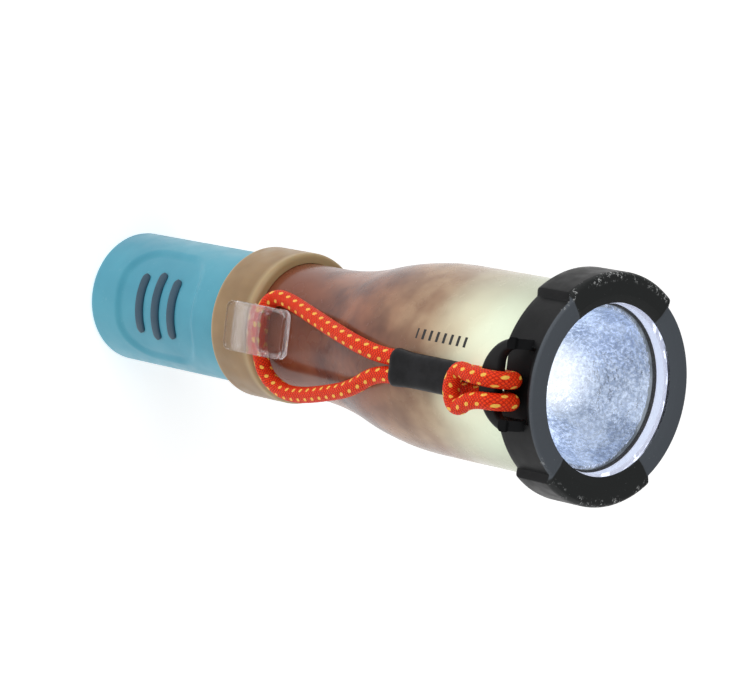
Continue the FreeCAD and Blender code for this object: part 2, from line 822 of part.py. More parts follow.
def make_pack():
    ribs = [rod(f"pack_rib_{i}", "pack_rib_r", PACK_LOW, PACK_TOP + " - ( " + PACK_LOW + " )", spot)
            for i, spot in enumerate(around(3, amount("pack_r - pack_rib_r - 0.2"), 60.0))]
    floor = rod("pack_floor_disc", "pack_r", PACK_LOW, "pack_floor")
    roof = rod("pack_roof_disc", "pack_r", PACK_TOP + " - pack_roof", "pack_roof")
    keep(boolean("Part::MultiFuse", "frame", Shapes=[floor, roof] + ribs), "pack_frame")
    plates = []
    springs = []
    for i, spot in enumerate(around(3, amount("cell_pitch_r"))):
        plates.append(rod(f"plate_low_{i}", "plate_r", PACK_LOW + " + pack_floor", "plate_thickness", spot))
        plates.append(rod(f"plate_high_{i}", "plate_r", CELL_ROOF, "plate_thickness", spot))
        nub_up = i != 1
        body_low = CELL_FLOOR + (" + cell_spring_gap" if nub_up else " + cell_nub")
        nub_low = body_low + " + cell_length" if nub_up else CELL_FLOOR
        can = rod(f"can_{i}", "cell_r", body_low, "cell_length", spot)
        nub = rod(f"nub_{i}", "cell_nub_r", nub_low, "cell_nub", spot)
        keep(boolean("Part::MultiFuse", f"cell_{i}", Shapes=[can, nub]), f"aaa_cell_{i + 1}")
        spring_low = amount(CELL_FLOOR if nub_up else CELL_ROOF + " - cell_spring_gap")
        wide = amount("cell_spring_r")
        ends = (wide, wide / 2) if nub_up else (wide / 2, wide)
        springs.append(coil(f"cell_spring_{i}", *ends, amount("cell_spring_wire"),
                            amount("cell_spring_gap"), 2, (*spot, spring_low)))
    keep(boolean("Part::Compound", "plates", Links=plates), "pack_plates")
    keep(boolean("Part::Compound", "springs", Links=springs), "pack_springs")
    keep(disc("pack_contact", "pack_contact_r", PACK_TOP, PACK_TOP + " + pack_contact"), "pack_contact")


# ---------------------------------------------------------------- tail switch

def make_switch():
    board_top = "tail_board_low + tail_board"
    button_r = "button_hole_r - button_clearance"
    groove_low = "button_recess + button_flange / 2"
    flange_top = BUTTON_FLANGE_LOW + " + button_flange"
    keep(disc("switch_board", "tail_board_r", "tail_board_low", board_top), "switch_board")
    keep(tube("board_clamp", "tail_board_r", "clamp_bore_r", board_top, board_top + " + clamp_height"),
         "board_clamp")
    spring = coil("tail_spring", amount("tail_spring_r"), amount("cell_pitch_r"),
                  amount("tail_spring_wire"), amount("tail_spring_gap"), 4, (0, 0, amount(board_top)))
    keep(spring, "tail_spring")
    shell = block("switch_shell", "switch_side", "switch_height", "tail_board_low - switch_height")
    well = rod("switch_well", "plunger_r + plunger_clearance", "tail_board_low - switch_height",
               "switch_height - 1")
    keep(part_cut("switch_case", shell, well), "switch_body")
    keep(rod("plunger", "plunger_r", flange_top, "plunger_length"), "switch_plunger")
    keep(turned("tail_button", [
        ("0", "button_recess"),
        (button_r, "button_recess"),
        (button_r, groove_low),
        (button_r + " - button_seal_d", groove_low),
        (button_r + " - button_seal_d", groove_low + " + button_seal_d"),
        (button_r, groove_low + " + button_seal_d"),
        (button_r, BUTTON_FLANGE_LOW),
        ("button_flange_r", BUTTON_FLANGE_LOW),
        ("button_flange_r", flange_top),
        ("0", flange_top),
    ]), "tail_button")
    seal = primitive("Part::Torus", "button_seal", {
        "Radius1": bound(button_r + " - button_seal_d / 2"),
        "Radius2": "Sizes.button_seal_d / 2",
    }, (None, None, bound(groove_low + " + button_seal_d / 2")))
    keep(seal, "button_seal")


# ---------------------------------------------------------------- lanyard

# Centreline points (x, y, z), chosen by hand. The loop leaves the sleeve, lies
# along the flare, passes under the hook and comes back in a wider bow.
LOOP_POINTS = [
    (-0.4, -19.55, 98.1),
    (-0.4, -19.55, 93.5),
    (-1.4, -19.1, 87.0),
    (-3.1, -17.3, 77.5),
    (-4.9, -15.1, 68.0),
    (-6.1, -13.7, 61.5),
    (-6.5, -13.1, 57.0),
    (-4.7, -13.65, 54.45),
    (0.0, -14.4, 54.3),
    (4.8, -13.65, 54.45),
    (8.8, -12.5, 55.6),
    (11.0, -12.6, 61.0),
    (10.7, -14.1, 68.0),
    (9.0, -16.3, 77.0),
    (6.9, -18.3, 86.0),
    (2.8, -19.55, 93.5),
    (2.8, -19.55, 98.1),
]

# The cow hitch: under the lug's bar, up through its hole, back over the bar,
# and a bight that crosses over both legs.
HITCH_POINTS = [
    (-0.4, -19.55, 115.0),
    (-0.4, -19.55, 118.0),
    (-0.6, -19.15, 122.5),
    (-0.7, -19.1, 129.15),
    (-0.7, -24.2, 129.15),
    (-0.7, -24.3, 124.4),
    (-0.8, -23.9, 121.4),
    (-1.2, -23.2, 119.4),
    (-0.7, -22.9, 117.4),
    (2.2, -22.9, 116.2),
    (5.1, -22.9, 117.4),
    (5.4, -23.2, 119.4),
    (4.2, -23.9, 121.4),
    (3.3, -24.3, 124.4),
    (3.1, -24.2, 129.15),
    (3.1, -19.1, 129.15),
    (3.0, -19.15, 122.5),
    (2.8, -19.55, 118.0),
    (2.8, -19.55, 115.0),
]


def make_lanyard():
    cord("lanyard_loop", LOOP_POINTS)
    cord("lanyard_hitch", HITCH_POINTS)
    body = new_body("lanyard_sleeve")
    round_r = "sleeve_half_height"
    side = "sleeve_half_width - sleeve_half_height"
    outer = "sleeve_stand_off + sleeve_half_height"
    inner = "sleeve_stand_off - sleeve_half_height"
    other_side = "sleeve_centre - sleeve_half_width + sleeve_half_height"
    raise_pad(body, "sleeve_pad", [
        ("sleeve_centre + " + side, minus(outer)),
        ("sleeve_centre + sleeve_half_width", "- sleeve_stand_off", round_r, 1),
        ("sleeve_centre + " + side, minus(inner), round_r, 1),
        (other_side, minus(inner)),
        ("sleeve_centre - sleeve_half_width", "- sleeve_stand_off", round_r, 1),
        (other_side, minus(outer), round_r, 1),
    ], "sleeve_low", "sleeve_length", "XY_Plane")
    keep(body, "lanyard_sleeve")


make_tail_housing()
make_thread_seal()
make_collar()
make_hook(make_globe())
make_bezel()
make_lens_stack()
make_lights()
make_core()
make_pack()
make_switch()
make_lanyard()
doc.recompute()

for item in doc.Objects:
    faults = [state for state in item.State if state in ("Invalid", "Error")]
    if faults:
        raise RuntimeError(f"{item.Name} is {faults}")
for piece in pieces:
    if piece.Shape.isNull() or not piece.Shape.isValid() or piece.Shape.Volume <= 0:
        raise RuntimeError(f"{piece.Label} has no valid shape")

os.makedirs("parts", exist_ok=True)
for piece in pieces:
    piece.Shape.exportStep(f"parts/{piece.Label}.step")
print(f"{len(pieces)} pieces")
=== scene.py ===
"""Looks for a palm-size flashlight and lantern, standing on its tail.

Shapes are given in millimetres and become metres when a mesh is made. Materials work in metres.
"""
import math

import bmesh
import bpy
from mathutils import Matrix, Vector


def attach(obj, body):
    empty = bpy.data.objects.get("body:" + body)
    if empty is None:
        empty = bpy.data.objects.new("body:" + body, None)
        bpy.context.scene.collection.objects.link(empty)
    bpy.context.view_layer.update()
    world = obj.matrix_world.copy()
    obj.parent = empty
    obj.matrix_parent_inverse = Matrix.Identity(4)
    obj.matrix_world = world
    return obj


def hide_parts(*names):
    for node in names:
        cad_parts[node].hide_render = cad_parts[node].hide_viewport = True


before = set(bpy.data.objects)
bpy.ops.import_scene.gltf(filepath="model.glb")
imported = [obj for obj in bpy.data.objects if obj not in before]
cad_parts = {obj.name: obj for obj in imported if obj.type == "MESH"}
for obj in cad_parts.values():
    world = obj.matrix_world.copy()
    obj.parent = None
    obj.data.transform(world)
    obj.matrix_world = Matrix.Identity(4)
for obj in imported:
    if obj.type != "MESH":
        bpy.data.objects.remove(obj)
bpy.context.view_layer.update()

MM = 0.001
TAU = 2 * math.pi

# Heights up the axis and radii, as in the CAD.
HOUSING_TOP, NECK_TOP = 40.0, 46.8
COLLAR_LOW, COLLAR_TOP = 40.25, 51.25
GLOBE_BASE, FLARE_LOW, FLARE_TOP = 47.85, 59.25, 96.25
SHOULDER, RIM_TOP = 124.0, 127.6
FLANGE_TOP, LENS_TOP, FRONT = 128.4, 132.2, 133.0
BARREL_R, COLLAR_R, WAIST_R, GLOBE_R, RIM_R = 12.8, 14.6, 12.6, 17.6, 16.05
BEZEL_R, PAD_R, OPENING_R = 19.5, 20.9, 15.4
NECK_R, PACK_BORE_R = 11.8, 11.1
PAD_HALF_ANGLE = math.radians(38)
POCKET_R, POCKET_TOP = 17.45, 131.72
LUG_CENTRE, LUG_OUTER, LUG_HOLE_HALF, LUG_HOLE_DEEP = 130.6, 8.2, 6.2, 3.4
LUG_NEAR, LUG_FAR = -20.7, -22.6
SLEEVE_LOW, SLEEVE_TOP = 98.1, 115.0
SLEEVE_X, STRAND_Y = 1.2, -19.55
HOOK_HALF, HOOK_LOW, HOOK_TOP = 4.7, 48.0, 65.0
HOOK_ROOT_HALF, HOOK_ROOT_LOW, HOOK_ROOT_TOP = 3.7, 56.45, 63.05
HOOK_FRONT, HOOK_BACK, HOOK_ROOT_END = -17.9, -16.0, -12.0
HOOK_CORNER = 1.6
PANEL_DEPTH = 0.7
CORD_D = 3.0


# ---------------------------------------------------------------- mesh helpers

def rounded(corners, steps=5, closed=True):
    """An outline of (x, y, radius) corners, each turned into an arc."""
    points = []
    count = len(corners)
    for i, (x, y, radius) in enumerate(corners):
        corner = Vector((x, y))
        if radius <= 0 or (not closed and i in (0, count - 1)):
            points.append((x, y))
            continue
        back = Vector(corners[i - 1][:2]) - corner
        ahead = Vector(corners[(i + 1) % count][:2]) - corner
        half = back.angle(ahead) / 2
        reach = min(radius / math.tan(half), 0.49 * back.length, 0.49 * ahead.length)
        radius = reach * math.tan(half)
        back.normalize()
        ahead.normalize()
        centre = corner + (back + ahead).normalized() * (radius / math.sin(half))
        first = corner + back * reach - centre
        last = corner + ahead * reach - centre
        start = math.atan2(first.y, first.x)
        sweep = (math.atan2(last.y, last.x) - start + math.pi) % TAU - math.pi
        for k in range(steps + 1):
            angle = start + sweep * k / steps
            points.append((centre.x + radius * math.cos(angle), centre.y + radius * math.sin(angle)))
    return points


def subdivide(outline, longest, where):
    """Adds points to the runs that where() picks, so that none is longer than asked."""
    points = []
    for a, b in zip(outline, outline[1:] + outline[:1]):
        points.append(a)
        if where(a) and where(b):
            parts = math.ceil(math.dist(a, b) / longest)
            points += [(a[0] + (b[0] - a[0]) * k / parts, a[1] + (b[1] - a[1]) * k / parts)
                       for k in range(1, parts)]
    return points


def smoothstep(low, high, x):
    t = min(max((x - low) / (high - low), 0.0), 1.0)
    return t * t * (3 - 2 * t)


class Shell:
    """Gathers vertices and faces in millimetres, and makes one object of them."""

    def __init__(self):
        self.verts = []
        self.faces = []
        self.flat = set()

    def grid(self, rows, wrap_rows=True, wrap_columns=True, flat=False):
        """A lattice of points: rows[i][j], joined to the next row and column."""
        base = len(self.verts)
        width = len(rows[0])
        for row in rows:
            self.verts += row
        for i in range(len(rows) - (0 if wrap_rows else 1)):
            for j in range(width - (0 if wrap_columns else 1)):
                a = base + i * width + j
                b = base + i * width + (j + 1) % width
                c = base + (i + 1) % len(rows) * width + (j + 1) % width
                d = base + (i + 1) % len(rows) * width + j
                if flat:
                    self.flat.add(len(self.faces))
                self.faces.append((a, b, c, d))
        return base

    def cap(self, ring):
        self.faces.append(tuple(ring))

    def fan(self, ring, tip):
        self.verts.append(tip)
        top = len(self.verts) - 1
        self.faces += [(ring[j], ring[(j + 1) % len(ring)], top) for j in range(len(ring))]

    def make(self, name, sharp=38.0):
        mesh = bpy.data.meshes.new(name)
        mesh.from_pydata([tuple(c * MM for c in v) for v in self.verts], [], self.faces)
        work = bmesh.new()
        work.from_mesh(mesh)
        bmesh.ops.recalc_face_normals(work, faces=work.faces)
        work.to_mesh(mesh)
        work.free()
        for i, face in enumerate(mesh.polygons):
            face.use_smooth = i not in self.flat
        mesh.set_sharp_from_angle(angle=math.radians(sharp))
        obj = bpy.data.objects.new(name, mesh)
        bpy.context.scene.collection.objects.link(obj)
        return obj


def turn(shell, outline, columns=144, warp=None, angles=None):
    """Revolves a closed outline of (radius, height) about the axis."""
    angles = angles or [TAU * k / columns for k in range(columns)]
    rows = []
    for angle in angles:
        row = []
        for r, z in outline:
            if warp:
                r = warp(angle, r, z)
            row.append((r * math.cos(angle), r * math.sin(angle), z))
        rows.append(row)
    shell.grid(rows)


def turn_solid(shell, outline, columns=96):
    """Revolves an open outline whose first and last points are on the axis."""
    inner = outline[1:-1]
    rows = [[(r * math.cos(TAU * k / columns), r * math.sin(TAU * k / columns), z)
             for k in range(columns)] for r, z in inner]
    base = shell.grid(rows, wrap_rows=False)
    shell.fan(range(base, base + columns), (0.0, 0.0, outline[0][1]))
    last = base + (len(inner) - 1) * columns
    shell.fan(range(last, last + columns), (0.0, 0.0, outline[-1][1]))


def arc_between(start, end, radius, side, steps):
    """Points on an arc of that radius; side picks which way it bulges."""
    a, b = Vector(start), Vector(end)
    along = b - a
    normal = Vector((-along.y, along.x)).normalized() * side
    centre = (a + b) / 2 + normal * math.sqrt(radius ** 2 - (along.length / 2) ** 2)
    first = math.atan2(*(a - centre).yx)
    sweep = (math.atan2(*(b - centre).yx) - first + math.pi) % TAU - math.pi
    return [(centre.x + radius * math.cos(first + sweep * k / steps),
             centre.y + radius * math.sin(first + sweep * k / steps)) for k in range(steps + 1)]


def follow(name, points, samples, order=3):
    """The points of a smooth NURBS route through chosen control points, in metres."""
    curve = bpy.data.curves.new(name + "_route", "CURVE")
    curve.dimensions = "3D"
    spline = curve.splines.new("NURBS")
    spline.points.add(len(points) - 1)
    for point, spot in zip(spline.points, points):
        point.co = (*(c * MM for c in spot), 1.0)
    spline.order_u = order
    spline.use_endpoint_u = True
    spline.resolution_u = samples
    holder = bpy.data.objects.new(name + "_route", curve)
    bpy.context.scene.collection.objects.link(holder)
    bpy.context.view_layer.update()
    line = bpy.data.meshes.new_from_object(holder)
    route = [v.co.copy() for v in line.vertices]
    bpy.data.objects.remove(holder)
    bpy.data.meshes.remove(line)
    bpy.data.curves.remove(curve)
    return route


def frames_along(route):
    """A tangent, a normal and the length so far at each point, without twist."""
    out = []
    normal = None
    travelled = 0.0
    for i, spot in enumerate(route):
        tangent = (route[min(i + 1, len(route) - 1)] - route[max(i - 1, 0)]).normalized()
        if normal is None:
            normal = tangent.orthogonal().normalized()
        normal = (normal - tangent * normal.dot(tangent)).normalized()
        if i:
            travelled += (spot - route[i - 1]).length
        out.append((spot, tangent, normal, travelled))
    return out


# ---------------------------------------------------------------- material helpers

def new_material(name):
    material = bpy.data.materials.new(name)
    material.use_nodes = True
    tree = material.node_tree
    tree.nodes.clear()
    return material, tree


def put(tree, kind, values=None, **settings):
    """Adds a node, sets its properties, and sets or links its inputs."""
    made = tree.nodes.new("ShaderNode" + kind)
    for key, value in settings.items():
        setattr(made, key, value)
    for key, value in (values or {}).items():
        socket = made.inputs[key]
        if isinstance(value, bpy.types.NodeSocket):
            tree.links.new(value, socket)
        elif isinstance(value, bpy.types.Node):
            tree.links.new(value.outputs[0], socket)
        else:
            socket.default_value = value
    return made


def calc(tree, operation, a, b=0.0, clamp=False):
    return put(tree, "Math", {0: a, 1: b}, operation=operation, use_clamp=clamp).outputs[0]


def spread(tree, value, low, high, to_low=0.0, to_high=1.0):
    """A smooth step from one value to another."""
    return put(tree, "MapRange", {"Value": value, "From Min": low, "From Max": high,
                                  "To Min": to_low, "To Max": to_high},
               interpolation_type="SMOOTHSTEP").outputs[0]


def blend(tree, share, a, b):
    node = put(tree, "Mix", data_type="RGBA")
    for key, value in ((0, share), (6, a), (7, b)):
        if isinstance(value, bpy.types.NodeSocket):
            tree.links.new(value, node.inputs[key])
        else:
            node.inputs[key].default_value = value
    return node.outputs[2]


def place(tree):
    """The object's own coordinates, and x, y and z of them, in metres."""
    spot = put(tree, "TexCoord").outputs["Object"]
    parts = put(tree, "SeparateXYZ", {0: spot})
    return spot, parts.outputs[0], parts.outputs[1], parts.outputs[2]


def radius_of(tree, x, y):
    squares = calc(tree, "ADD", calc(tree, "MULTIPLY", x, x), calc(tree, "MULTIPLY", y, y))
    return calc(tree, "SQRT", squares)


def noise(tree, spot, scale, detail=3.0, rough=0.55):
    return put(tree, "TexNoise", {"Vector": spot, "Scale": scale, "Detail": detail,
                                  "Roughness": rough}).outputs[0]


def bump(tree, height, strength, distance):
    return put(tree, "Bump", {"Height": height, "Strength": strength,
                              "Distance": distance}).outputs[0]


def rgb(r, g, b):
    return (r, g, b, 1.0)


def surface(tree, shader):
    put(tree, "OutputMaterial", {"Surface": shader})


def plastic(name, colour, roughness, grain=2600.0, depth=0.00002, tint=0.12, **extra):
    """Moulded plastic: a fine grain, slight changes of shade, and scuffs in the gloss."""
    material, tree = new_material(name)
    spot, *_ = place(tree)
    shade = noise(tree, spot, 70.0)
    darker = tuple(c * (1 - tint) for c in colour[:3]) + (1.0,)
    lighter = tuple(min(1.0, c * (1 + tint)) for c in colour[:3]) + (1.0,)
    body = put(tree, "BsdfPrincipled", {
        "Base Color": blend(tree, spread(tree, shade, 0.3, 0.7), darker, lighter),
        "Roughness": spread(tree, noise(tree, spot, 320.0), 0.25, 0.75,
                            roughness - 0.06, roughness + 0.08),
        "Normal": bump(tree, noise(tree, spot, grain), 0.35, depth),
        **extra,
    })
    surface(tree, body)
    return material


def metal(name, colour, roughness, lines=None):
    """Plain metal with faint scratches or turning lines."""
    material, tree = new_material(name)
    spot, *_ = place(tree)
    pattern = noise(tree, spot, 900.0)
    if lines:
        wave = put(tree, "TexWave", {"Vector": spot, "Scale": lines, "Distortion": 1.5, "Detail": 2.0},
                   bands_direction="Z")
        pattern = wave.outputs[1]
    body = put(tree, "BsdfPrincipled", {
        "Base Color": colour,
        "Metallic": 1.0,
        "Roughness": spread(tree, pattern, 0.2, 0.8, roughness * 0.8, roughness * 1.3),
        "Normal": bump(tree, pattern, 0.15, 0.00002),
    })
    surface(tree, body)
    return material


def wear(obj, material):
    obj.data.materials.clear()
    obj.data.materials.append(material)


# ---------------------------------------------------------------- materials

def bezel_material():
    """Black moulded plastic, with pale chips along the bumpers' front edges."""
    material, tree = new_material("black_bumper")
    spot, x, y, z = place(tree)
    radius = radius_of(tree, x, y)
    front = spread(tree, z, 0.1316, 0.1326)
    outer = spread(tree, radius, 0.0190, 0.0199)
    pads = spread(tree, calc(tree, "ABSOLUTE", x), 0.0112, 0.0128)
    edge = calc(tree, "MULTIPLY", calc(tree, "MULTIPLY", front, outer), pads)
    chips = spread(tree, noise(tree, spot, 1500.0, 5.0, 0.7), 0.55, 0.62)
    patches = spread(tree, noise(tree, spot, 260.0, 2.0), 0.40, 0.52)
    worn = calc(tree, "MULTIPLY", calc(tree, "MULTIPLY", edge, chips), patches)
    specks = calc(tree, "MULTIPLY", spread(tree, noise(tree, spot, 2300.0, 2.0), 0.72, 0.76), front)
    marks = calc(tree, "MAXIMUM", worn, calc(tree, "MULTIPLY", specks, 0.25))
    shade = spread(tree, noise(tree, spot, 160.0), 0.3, 0.7)
    black = blend(tree, shade, rgb(0.0060, 0.0062, 0.0068), rgb(0.0110, 0.0115, 0.0125))
    grain = noise(tree, spot, 2600.0, 4.0)
    # The front face is a lighter grey than the sides, and the sunk faces between the bumpers are paler
    # still: painted light on those sloping faces.
    share = calc(tree, "DIVIDE", calc(tree, "ABSOLUTE", x), radius)
    tone = blend(tree, spread(tree, share, 0.792, 0.784), rgb(0.026, 0.028, 0.028), rgb(0.095, 0.108, 0.125))
    black = blend(tree, spread(tree, z, 0.1320, 0.1324), black, tone)
    body = put(tree, "BsdfPrincipled", {
        "Base Color": blend(tree, marks, black, rgb(0.50, 0.51, 0.51)),
        "Roughness": spread(tree, noise(tree, spot, 420.0), 0.3, 0.7, 0.34, 0.46),
        "Specular IOR Level": 0.14,
        "Normal": bump(tree, grain, 0.3, 0.00002),
    })
    surface(tree, body)
    return material


def globe_material():
    """Translucent plastic with painted light: a greenish white painted glow behind the bezel, and painted
    shade of deep brown over the core below.
    """
    material, tree = new_material("translucent_globe")
    spot, x, y, z = place(tree)
    angle = put(tree, "Math", {0: x, 1: calc(tree, "MULTIPLY", y, -1.0)}, operation="ARCTAN2").outputs[0]
    cloud = calc(tree, "SUBTRACT", noise(tree, spot, 45.0, 2.0), 0.5)
    # The painted glow reaches lower on both sides of the cord than behind it.
    arch = calc(tree, "MULTIPLY", calc(tree, "COSINE", calc(tree, "MULTIPLY", angle, 2.0)), 0.003)
    height = calc(tree, "SUBTRACT", calc(tree, "ADD", z, calc(tree, "MULTIPLY", cloud, 0.020)), arch)
    # Painted light: pale and greenish white where the lantern lights the shell from inside, tan below that.
    lit = spread(tree, height, 0.079, 0.104)
    near = spread(tree, height, 0.099, 0.121)
    mottle = spread(tree, noise(tree, spot, 85.0, 3.0, 0.6), 0.32, 0.70)
    # Painted shade: lower down the shell is a mottled deep brown, a plainer red-brown near the collar.
    painted_shade_brown = blend(tree, mottle, rgb(0.085, 0.024, 0.017), rgb(0.300, 0.110, 0.055))
    painted_shade_low = blend(tree, spread(tree, height, 0.054, 0.072), rgb(0.210, 0.060, 0.028), painted_shade_brown)
    tan = blend(tree, mottle, rgb(0.30, 0.165, 0.095), rgb(0.52, 0.37, 0.23))
    painted_glow_tone = blend(tree, near, tan, rgb(0.52, 0.54, 0.41))
    colour = blend(tree, lit, painted_shade_low, painted_glow_tone)
    mark = printed_marks(tree, angle, z)
    # The painted glow is strongest on both sides of the lug, close behind the bezel.
    painted_glow_side = spread(tree, calc(tree, "COSINE", angle), 0.45, 0.98)
    close = calc(tree, "MULTIPLY", painted_glow_side, spread(tree, height, 0.102, 0.117))
    shine = calc(tree, "ADD", calc(tree, "MULTIPLY", close, 0.42), calc(tree, "MULTIPLY", near, 0.06))
    body = put(tree, "BsdfPrincipled", {
        "Base Color": blend(tree, mark, colour, rgb(0.02, 0.02, 0.02)),
        "Roughness": spread(tree, noise(tree, spot, 260.0), 0.3, 0.7, 0.20, 0.30),
        "Specular IOR Level": 0.2,
        "Coat Weight": 0.18,
        "Coat Roughness": 0.08,
        # Painted glow: this emission stands in for the lantern's light coming through the shell.
        "Emission Color": blend(tree, near, rgb(0.95, 0.88, 0.58), rgb(0.84, 1.0, 0.78)),
        "Emission Strength": calc(tree, "MULTIPLY", shine, calc(tree, "SUBTRACT", 1.0, mark)),
        "Normal": bump(tree, noise(tree, spot, 700.0), 0.06, 0.00001),
    })
    surface(tree, body)
    return material


def printed_marks(tree, angle, z):
    """A plain printed scale up the globe, beside the lug."""
    across = calc(tree, "ADD", angle, 0.30)
    inside = spread(tree, calc(tree, "ABSOLUTE", across), 0.056, 0.052)
    run = spread(tree, calc(tree, "ABSOLUTE", calc(tree, "SUBTRACT", z, 0.1065)), 0.0068, 0.0066)
    comb = calc(tree, "FRACT", calc(tree, "MULTIPLY", calc(tree, "SUBTRACT", z, 0.0990), 560.0))
    bars = spread(tree, calc(tree, "ABSOLUTE", calc(tree, "SUBTRACT", comb, 0.5)), 0.20, 0.17)
    return calc(tree, "MULTIPLY", calc(tree, "MULTIPLY", inside, run), bars)


def blue_material():
    """Blue moulded plastic with fine pale scratches."""
    material, tree = new_material("blue_housing")
    spot, *_ = place(tree)
    shade = spread(tree, noise(tree, spot, 60.0), 0.3, 0.7)
    colour = blend(tree, shade, rgb(0.066, 0.32, 0.44), rgb(0.092, 0.39, 0.51))
    scratches = spread(tree, noise(tree, spot, 900.0, 5.0, 0.7), 0.62, 0.70)
    body = put(tree, "BsdfPrincipled", {
        "Base Color": blend(tree, calc(tree, "MULTIPLY", scratches, 0.10), colour, rgb(0.5, 0.8, 0.88)),
        "Roughness": spread(tree, noise(tree, spot, 300.0), 0.3, 0.7, 0.30, 0.42),
        "Specular IOR Level": 0.35,
        "Normal": bump(tree, noise(tree, spot, 1800.0), 0.25, 0.00002),
    })
    surface(tree, body)
    return material


def collar_material():
    """Cream frosted plastic with random shade, and a painted highlight, paler and warmer, along both its
    rounded edges.
    """
    material, tree = new_material("cream_collar")
    spot, _, _, z = place(tree)
    # Painted highlight: both rounded edges are paler and warmer than the rest.
    painted_rim_highlight = calc(tree, "MAXIMUM", spread(tree, z, 0.0412, 0.0404), spread(tree, z, 0.0488, 0.0506))
    shade = spread(tree, noise(tree, spot, 90.0), 0.3, 0.7)
    cream = blend(tree, shade, rgb(0.25, 0.145, 0.058), rgb(0.34, 0.21, 0.090))
    body = put(tree, "BsdfPrincipled", {
        "Base Color": blend(tree, calc(tree, "MULTIPLY", painted_rim_highlight, 0.6), cream, rgb(0.56, 0.42, 0.22)),
        "Roughness": spread(tree, noise(tree, spot, 300.0), 0.3, 0.7, 0.34, 0.46),
        "Subsurface Weight": 0.12,
        "Subsurface Scale": 0.002,
        "Normal": bump(tree, noise(tree, spot, 1500.0), 0.2, 0.00002),
    })
    surface(tree, body)
    return material


def cord_material():
    """Braided red-orange sleeve with cream tracers, from each point's place on the cord."""
    material, tree = new_material("braided_cord")
    spot, *_ = place(tree)
    along = put(tree, "Attribute", attribute_name="along").outputs["Fac"]
    across = put(tree, "Attribute", attribute_name="turn_cos").outputs["Fac"]
    up = put(tree, "Attribute", attribute_name="turn_sin").outputs["Fac"]
    angle = put(tree, "Math", {0: up, 1: across}, operation="ARCTAN2").outputs[0]
    turns = calc(tree, "MULTIPLY", angle, 1 / TAU)
    run = calc(tree, "MULTIPLY", along, 1.0 / TRACER_PITCH)

    def strands(sign):
        lane = calc(tree, "ADD", calc(tree, "MULTIPLY", turns, BRAID_CARRIERS),
                    calc(tree, "MULTIPLY", run, sign * BRAID_SLOPE))
        return calc(tree, "ABSOLUTE", calc(tree, "SINE", calc(tree, "MULTIPLY", lane, math.pi)))

    weave = calc(tree, "MULTIPLY", strands(1), strands(-1))
    # Tracers: five rows, every other row half a pitch along.
    row = calc(tree, "MULTIPLY", calc(tree, "ADD", turns, 0.5), TRACER_ROWS)
    row_number = calc(tree, "FLOOR", row)
    in_row = calc(tree, "SUBTRACT", calc(tree, "FRACT", row), 0.5)
    shifted = calc(tree, "ADD", run, calc(tree, "MULTIPLY", row_number, 0.4))
    skewed = calc(tree, "ADD", shifted, calc(tree, "MULTIPLY", in_row, 0.30))
    in_pitch = calc(tree, "SUBTRACT", calc(tree, "FRACT", skewed), 0.5)
    far = calc(tree, "ADD", calc(tree, "POWER", calc(tree, "MULTIPLY", in_row, 4.6), 2.0),
               calc(tree, "POWER", calc(tree, "MULTIPLY", in_pitch, 5.0), 2.0))
    ragged = calc(tree, "ADD", far, calc(tree, "MULTIPLY", noise(tree, spot, 3000.0), 0.5))
    tracer = spread(tree, ragged, 1.35, 0.85)
    fibres = noise(tree, spot, 5200.0, 3.0)
    # Painted shade: the red is darker in the grooves between the braid's carriers.
    red = blend(tree, spread(tree, weave, 0.05, 0.8), rgb(0.50, 0.006, 0.002), rgb(1.0, 0.045, 0.006))
    red = blend(tree, calc(tree, "MULTIPLY", spread(tree, fibres, 0.4, 0.8), 0.5), red, rgb(1.0, 0.15, 0.02))
    body = put(tree, "BsdfPrincipled", {
        "Base Color": blend(tree, tracer, red, rgb(1.0, 0.58, 0.10)),
        "Roughness": 0.5,
        "Specular IOR Level": 0.14,
        "Normal": bump(tree, calc(tree, "ADD", weave, calc(tree, "MULTIPLY", fibres, 0.3)), 0.8, 0.00012),
    })
    surface(tree, body)
    return material


def sleeve_material():
    """Black heat-shrink tube."""
    material, tree = new_material("heat_shrink")
    spot, *_ = place(tree)
    body = put(tree, "BsdfPrincipled", {
        "Base Color": blend(tree, spread(tree, noise(tree, spot, 400.0), 0.3, 0.7),
                            rgb(0.004, 0.004, 0.005), rgb(0.011, 0.011, 0.013)),
        "Roughness": spread(tree, noise(tree, spot, 500.0), 0.3, 0.7, 0.34, 0.5),
        "Specular IOR Level": 0.14,
        "Normal": bump(tree, noise(tree, spot, 800.0), 0.35, 0.00006),
    })
    surface(tree, body)
    return material


def clear_material():
    """Clear moulded plastic."""
    material, tree = new_material("clear_hook")
    spot, *_ = place(tree)
    body = put(tree, "BsdfPrincipled", {
        "Base Color": rgb(0.93, 0.93, 0.95),
        "Roughness": 0.06,
        "IOR": 1.45,
        "Transmission Weight": 1.0,
        "Normal": bump(tree, noise(tree, spot, 240.0), 0.12, 0.0001),
    })
    clear = put(tree, "BsdfTransparent", {0: rgb(0.96, 0.95, 0.96)})
    surface(tree, put(tree, "MixShader", {0: 0.5, 1: body.outputs[0], 2: clear.outputs[0]}))
    return material


def lens_material():
    """Polished window: mostly clear, with a reflection that grows at grazing angles."""
    material, tree = new_material("clear_lens")
    shine = put(tree, "BsdfGlossy", {"Roughness": 0.02, "Color": rgb(1, 1, 1)})
    clear = put(tree, "BsdfTransparent", {0: rgb(0.985, 0.99, 1.0)})
    share = put(tree, "Fresnel", {"IOR": 1.25})
    surface(tree, put(tree, "MixShader", {0: share.outputs[0], 1: clear.outputs[0], 2: shine.outputs[0]}))
    return material


